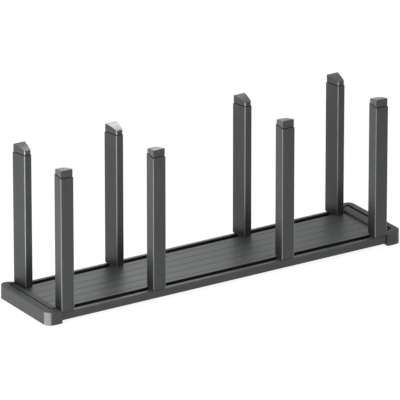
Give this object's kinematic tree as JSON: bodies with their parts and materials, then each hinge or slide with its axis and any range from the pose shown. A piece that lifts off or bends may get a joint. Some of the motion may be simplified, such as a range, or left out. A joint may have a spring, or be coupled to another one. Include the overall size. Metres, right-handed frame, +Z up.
{
  "type": "drawer bowl holder",
  "caption": "Slotted aluminium base with moulded end caps and tapered posts that slide along two T slots to hold stacks of bowls upright in a drawer.",
  "frame": {"origin": "on the drawer floor, under the middle of the base", "axes": "+X along the base, +Z up, the front row of posts on the -Y side"},
  "size_m": [0.472, 0.1072, 0.1791],
  "materials": {
    "anthracite_aluminium": "brushed and anodised anthracite",
    "grey_cap_plastic": "satin moulded",
    "dark_slide_plastic": "plain moulded",
    "zinc_plated_steel": "zinc plated",
    "dark_rubber": "matt"
  },
  "bodies": {
    "base": {"base_profile": "anthracite_aluminium", "end_cap_left": "grey_cap_plastic", "end_cap_cover_left": "grey_cap_plastic", "end_cap_screw_left_front": "zinc_plated_steel", "anti_slip_pad_left_front": "dark_rubber", "end_cap_screw_left_back": "zinc_plated_steel", "anti_slip_pad_left_back": "dark_rubber", "end_cap_right": "grey_cap_plastic", "end_cap_cover_right": "grey_cap_plastic", "end_cap_screw_right_front": "zinc_plated_steel", "anti_slip_pad_right_front": "dark_rubber", "end_cap_screw_right_back": "zinc_plated_steel", "anti_slip_pad_right_back": "dark_rubber"},
    "post_front_1": {"post_front_1_tube": "anthracite_aluminium", "post_front_1_cap": "grey_cap_plastic", "post_front_1_foot_plug": "dark_slide_plastic", "post_front_1_slide_shoe": "dark_slide_plastic", "post_front_1_screw": "zinc_plated_steel"},
    "post_front_2": {"post_front_2_tube": "anthracite_aluminium", "post_front_2_cap": "grey_cap_plastic", "post_front_2_foot_plug": "dark_slide_plastic", "post_front_2_slide_shoe": "dark_slide_plastic", "post_front_2_screw": "zinc_plated_steel"},
    "post_front_3": {"post_front_3_tube": "anthracite_aluminium", "post_front_3_cap": "grey_cap_plastic", "post_front_3_foot_plug": "dark_slide_plastic", "post_front_3_slide_shoe": "dark_slide_plastic", "post_front_3_screw": "zinc_plated_steel"},
    "post_front_4": {"post_front_4_tube": "anthracite_aluminium", "post_front_4_cap": "grey_cap_plastic", "post_front_4_foot_plug": "dark_slide_plastic", "post_front_4_slide_shoe": "dark_slide_plastic", "post_front_4_screw": "zinc_plated_steel"},
    "post_back_1": {"post_back_1_tube": "anthracite_aluminium", "post_back_1_cap": "grey_cap_plastic", "post_back_1_foot_plug": "dark_slide_plastic", "post_back_1_slide_shoe": "dark_slide_plastic", "post_back_1_screw": "zinc_plated_steel"},
    "post_back_2": {"post_back_2_tube": "anthracite_aluminium", "post_back_2_cap": "grey_cap_plastic", "post_back_2_foot_plug": "dark_slide_plastic", "post_back_2_slide_shoe": "dark_slide_plastic", "post_back_2_screw": "zinc_plated_steel"},
    "post_back_3": {"post_back_3_tube": "anthracite_aluminium", "post_back_3_cap": "grey_cap_plastic", "post_back_3_foot_plug": "dark_slide_plastic", "post_back_3_slide_shoe": "dark_slide_plastic", "post_back_3_screw": "zinc_plated_steel"},
    "post_back_4": {"post_back_4_tube": "anthracite_aluminium", "post_back_4_cap": "grey_cap_plastic", "post_back_4_foot_plug": "dark_slide_plastic", "post_back_4_slide_shoe": "dark_slide_plastic", "post_back_4_screw": "zinc_plated_steel"}
  },
  "joints": [
    {"name": "post_front_1_slide", "type": "slide", "parent": "base", "child": "post_front_1", "axis": [1, 0, 0], "range_m": [0, 0.0511]},
    {"name": "post_front_2_slide", "type": "slide", "parent": "base", "child": "post_front_2", "axis": [1, 0, 0], "range_m": [-0.0511, 0.0767]},
    {"name": "post_front_3_slide", "type": "slide", "parent": "base", "child": "post_front_3", "axis": [1, 0, 0], "range_m": [-0.0767, 0.0544]},
    {"name": "post_front_4_slide", "type": "slide", "parent": "base", "child": "post_front_4", "axis": [1, 0, 0], "range_m": [-0.0544, 0]},
    {"name": "post_back_1_slide", "type": "slide", "parent": "base", "child": "post_back_1", "axis": [1, 0, 0], "range_m": [0, 0.0511]},
    {"name": "post_back_2_slide", "type": "slide", "parent": "base", "child": "post_back_2", "axis": [1, 0, 0], "range_m": [-0.0511, 0.0767]},
    {"name": "post_back_3_slide", "type": "slide", "parent": "base", "child": "post_back_3", "axis": [1, 0, 0], "range_m": [-0.0767, 0.0544]},
    {"name": "post_back_4_slide", "type": "slide", "parent": "base", "child": "post_back_4", "axis": [1, 0, 0], "range_m": [-0.0544, 0]}
  ]
}
